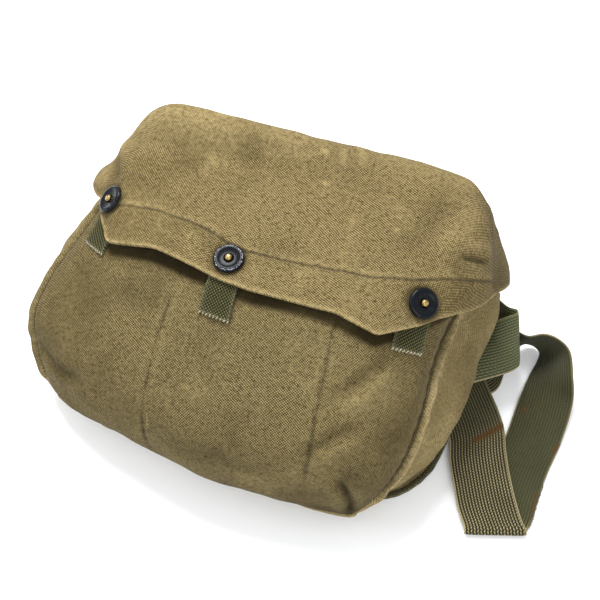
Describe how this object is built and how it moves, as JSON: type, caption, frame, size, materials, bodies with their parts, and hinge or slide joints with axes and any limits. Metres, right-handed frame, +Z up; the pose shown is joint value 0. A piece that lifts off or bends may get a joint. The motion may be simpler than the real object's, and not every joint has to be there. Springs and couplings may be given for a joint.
{
  "type": "gas mask bag",
  "caption": "Stuffed khaki canvas gas mask bag lying on its back, flap fastened with black snaps on green webbing tabs, with a ribbed webbing shoulder strap.",
  "frame": {"origin": "on the flat underside of the back panel, near its middle, at floor level", "axes": "+X across the bag to the right seen from the front, +Y from the bag's bottom to its top, +Z up out of the front"},
  "size_m": [0.3635, 0.2229, 0.1443],
  "materials": {
    "canvas": "worn cotton duck, matt",
    "green_tape": "coarse woven tape, matt",
    "black_metal": "black lacquer, chipped at the rim",
    "brass": "tarnished brass",
    "strap_webbing": "ribbed cotton webbing, matt"
  },
  "bodies": {
    "root": {"front_panel": "canvas", "gusset": "canvas", "back_panel": "canvas", "front_welt": "canvas", "flap": "canvas", "back_binding": "green_tape", "tab_left": "green_tape", "tab_center": "green_tape", "tab_right": "green_tape", "socket_left": "black_metal", "socket_center": "black_metal", "socket_right": "black_metal", "stud_left": "brass", "stud_center": "brass", "stud_right": "brass", "shoulder_strap": "strap_webbing", "side_loop": "strap_webbing"}
  },
  "joints": []
}
